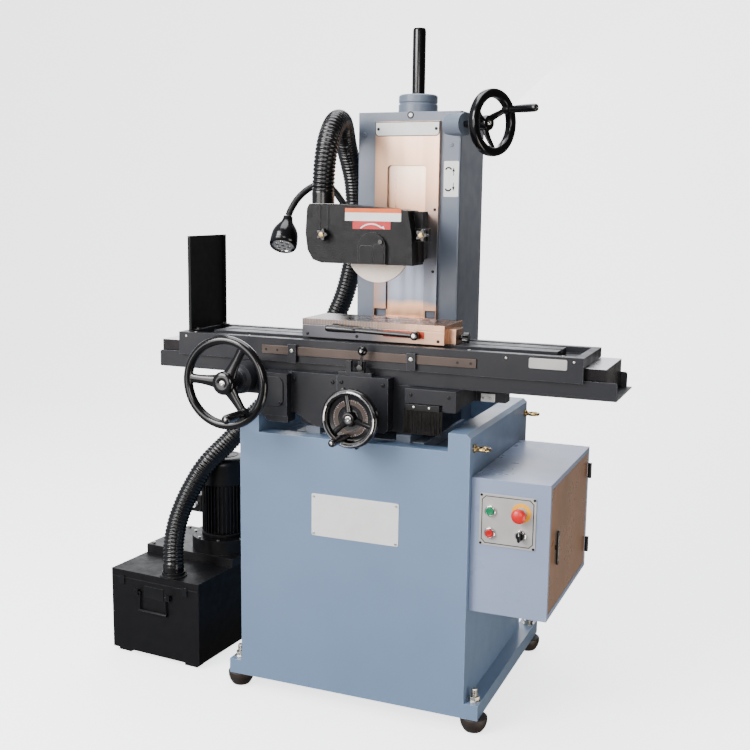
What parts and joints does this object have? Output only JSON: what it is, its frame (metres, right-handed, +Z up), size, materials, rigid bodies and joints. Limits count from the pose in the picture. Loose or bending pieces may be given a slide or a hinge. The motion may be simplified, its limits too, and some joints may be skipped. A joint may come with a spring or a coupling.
{
  "type": "manual surface grinder",
  "caption": "Manual surface grinder: column with a guarded wheel head, cross saddle and long table with a magnetic chuck, cabinet base, control box and a hose-fed dust collector.",
  "frame": {"origin": "middle of the footprint box, on the floor", "axes": "+Z up; the operator stands at -Y; +X to the operator's right, along the table"},
  "size_m": [1.493, 0.8368, 1.861],
  "materials": {
    "grey_blue_paint": "satin",
    "mid_blue_paint": "satin",
    "charcoal_paint": "satin",
    "black_paint": "satin",
    "bright_steel": "polished",
    "rail_steel": "satin",
    "brass": "satin",
    "foot_rubber": "matte",
    "black_plastic": "gloss",
    "hose_plastic": "satin",
    "chrome_ring": "polished",
    "abrasive": "matte",
    "panel_plate": "satin",
    "green_button": "gloss",
    "red_button": "gloss",
    "red_mushroom": "gloss",
    "bristle": "matte"
  },
  "bodies": {
    "base": {"cabinet": "grey_blue_paint", "levelling_foot_fl": "foot_rubber", "levelling_foot_fr": "foot_rubber", "levelling_foot_bl": "foot_rubber", "levelling_foot_br": "foot_rubber", "lifting_eye_fl": "brass", "lifting_eye_fr": "brass", "lifting_eye_bl": "brass", "lifting_eye_br": "brass", "bed": "mid_blue_paint", "column": "mid_blue_paint", "column_cap": "mid_blue_paint", "slide_cover": "bright_steel", "control_box": "grey_blue_paint", "control_panel": "panel_plate", "dust_box": "black_paint", "fan_housing": "black_paint", "fan_motor": "black_paint", "dust_hose": "hose_plastic"},
    "head": {"wheelhead": "black_paint", "slide_panel": "bright_steel", "elevating_screw": "black_paint", "wheel_guard": "black_paint"},
    "wheel": {"grinding_wheel": "abrasive", "spindle": "bright_steel"},
    "lamp": {"lamp_gooseneck": "black_paint", "lamp_head": "black_paint"},
    "saddle": {"saddle": "charcoal_paint", "tray": "charcoal_paint", "way_cover_left": "bright_steel", "way_cover_right": "bright_steel", "apron": "charcoal_paint", "gear_housing": "charcoal_paint", "way_brush": "bristle", "lever_block": "charcoal_paint"},
    "table": {"table": "charcoal_paint", "splash_guard": "black_paint", "dog_rail": "rail_steel", "magnetic_chuck": "bright_steel"},
    "left_dog": {"dog_left": "charcoal_paint"},
    "right_dog": {"dog_right": "charcoal_paint"},
    "chuck_lever": {"chuck_lever": "black_paint"},
    "end_stop_knob": {"end_stop_knob": "black_plastic"},
    "reverse_lever": {"reverse_lever": "black_plastic"},
    "table_handwheel": {"table_handwheel": "black_paint"},
    "table_grip": {"table_grip": "black_plastic"},
    "cross_handwheel": {"cross_handwheel": "black_paint", "cross_dial": "chrome_ring"},
    "cross_grip": {"cross_grip": "black_plastic"},
    "elevation_handwheel": {"elevation_handwheel": "black_paint"},
    "elevation_grip": {"elevation_grip": "black_plastic"},
    "guard_knob_left": {"guard_knob_left": "black_plastic"},
    "guard_knob_right": {"guard_knob_right": "black_plastic"},
    "box_door": {"control_box_door": "grey_blue_paint"},
    "door_latch": {"door_latch": "black_paint"},
    "start_button": {"button_start": "green_button"},
    "stop_button": {"button_stop": "red_button"},
    "emergency_stop": {"emergency_stop": "red_mushroom"},
    "selector": {"selector_switch": "black_plastic"},
    "bail": {"bail_handle": "black_paint"}
  },
  "joints": [
    {"name": "elevation_handwheel_turn", "type": "hinge", "parent": "base", "child": "elevation_handwheel", "pos_m": [0.33154, 0.12823, 1.585], "axis": [-0.9178, 0.3971, 0], "range_deg": [-17604, 21564]},
    {"name": "head_slide", "type": "slide", "parent": "base", "child": "head", "axis": [0, 0, 1], "range_m": [-0.098, 0.12], "deforming": ["dust_hose"]},
    {"name": "cross_slide", "type": "slide", "parent": "base", "child": "saddle", "axis": [0, 1, 0], "range_m": [-0.094, 0.0845]},
    {"name": "cross_handwheel_turn", "type": "hinge", "parent": "saddle", "child": "cross_handwheel", "pos_m": [0.1055, -0.3116, 0.828], "axis": [0, 1, 0], "range_deg": [-6804, 6120]},
    {"name": "table_slide", "type": "slide", "parent": "saddle", "child": "table", "axis": [1, 0, 0], "range_m": [-0.25, 0.2]},
    {"name": "table_handwheel_turn", "type": "hinge", "parent": "saddle", "child": "table_handwheel", "pos_m": [-0.2415, -0.3216, 0.897], "axis": [0, 1, 0], "range_deg": [-1124, 899]},
    {"name": "spindle_turn", "type": "hinge", "parent": "head", "child": "wheel", "pos_m": [0.0805, -0.0616, 1.246], "axis": [0, 1, 0], "continuous": true},
    {"name": "lamp_swing", "type": "hinge", "parent": "head", "child": "lamp", "pos_m": [-0.0125, 0.0404, 1.318], "axis": [0, 0, 1], "range_deg": [-40, 5]},
    {"name": "guard_knob_left_turn", "type": "hinge", "parent": "head", "child": "guard_knob_left", "pos_m": [-0.0565, -0.1069, 1.2817], "axis": [0, 1, 0], "range_deg": [-180, 180]},
    {"name": "guard_knob_right_turn", "type": "hinge", "parent": "head", "child": "guard_knob_right", "pos_m": [0.2125, -0.0719, 1.285], "axis": [0, 1, 0], "range_deg": [-180, 180]},
    {"name": "table_grip_turn", "type": "hinge", "parent": "table_handwheel", "child": "table_grip", "pos_m": [-0.18758, -0.3316, 0.82], "axis": [0, 1, 0], "continuous": true},
    {"name": "cross_grip_turn", "type": "hinge", "parent": "cross_handwheel", "child": "cross_grip", "pos_m": [0.0955, -0.3116, 0.781], "axis": [0, 1, 0], "continuous": true},
    {"name": "elevation_grip_turn", "type": "hinge", "parent": "elevation_handwheel", "child": "elevation_grip", "pos_m": [0.35393, 0.17997, 1.62303], "axis": [-0.9178, 0.3971, 0], "continuous": true},
    {"name": "chuck_lever_turn", "type": "hinge", "parent": "table", "child": "chuck_lever", "pos_m": [0.2215, -0.1516, 1.029], "axis": [0, 1, 0], "range_deg": [0, 176]},
    {"name": "end_stop_knob_turn", "type": "hinge", "parent": "table", "child": "end_stop_knob", "pos_m": [0.3188, -0.0746, 1.023], "axis": [1, 0, 0], "range_deg": [-180, 180]},
    {"name": "left_dog_slide", "type": "slide", "parent": "table", "child": "left_dog", "axis": [1, 0, 0], "range_m": [-0.07, 0.12]},
    {"name": "right_dog_slide", "type": "slide", "parent": "table", "child": "right_dog", "axis": [1, 0, 0], "range_m": [-0.095, 0.15]},
    {"name": "reverse_lever_turn", "type": "hinge", "parent": "saddle", "child": "reverse_lever", "pos_m": [0.093, -0.2076, 0.944], "axis": [0, 1, 0], "range_deg": [-20, 20]},
    {"name": "box_door_hinge", "type": "hinge", "parent": "base", "child": "box_door", "pos_m": [0.6065, 0.2584, 0.509], "axis": [0, 0, 1], "range_deg": [0, 110]},
    {"name": "door_latch_turn", "type": "hinge", "parent": "box_door", "child": "door_latch", "pos_m": [0.6053, -0.1286, 0.507], "axis": [1, 0, 0], "range_deg": [0, 90]},
    {"name": "start_button_press", "type": "slide", "parent": "base", "child": "start_button", "axis": [0, 1, 0], "range_m": [0, 0.003], "stiffness_N_per_m": 300, "springref_m": -0.002},
    {"name": "stop_button_press", "type": "slide", "parent": "base", "child": "stop_button", "axis": [0, 1, 0], "range_m": [0, 0.003], "stiffness_N_per_m": 300, "springref_m": -0.002},
    {"name": "emergency_stop_press", "type": "slide", "parent": "base", "child": "emergency_stop", "axis": [0, 1, 0], "range_m": [0, 0.004]},
    {"name": "selector_turn", "type": "hinge", "parent": "base", "child": "selector", "pos_m": [0.5335, -0.2279, 0.551], "axis": [0, 1, 0], "range_deg": [-45, 45]},
    {"name": "bail_swing", "type": "hinge", "parent": "base", "child": "bail", "pos_m": [-0.58983, -0.16485, 0.205], "axis": [-0.9974, 0.0715, 0], "range_deg": [0, 95]}
  ],
  "couplings": [
    {"joint": "head_slide", "follows": "elevation_handwheel_turn", "m_per_rad": 0.00031831},
    {"joint": "cross_handwheel_turn", "follows": "cross_slide", "rad_per_m": 1256.6},
    {"joint": "table_slide", "follows": "table_handwheel_turn", "m_per_rad": 0.012732}
  ]
}
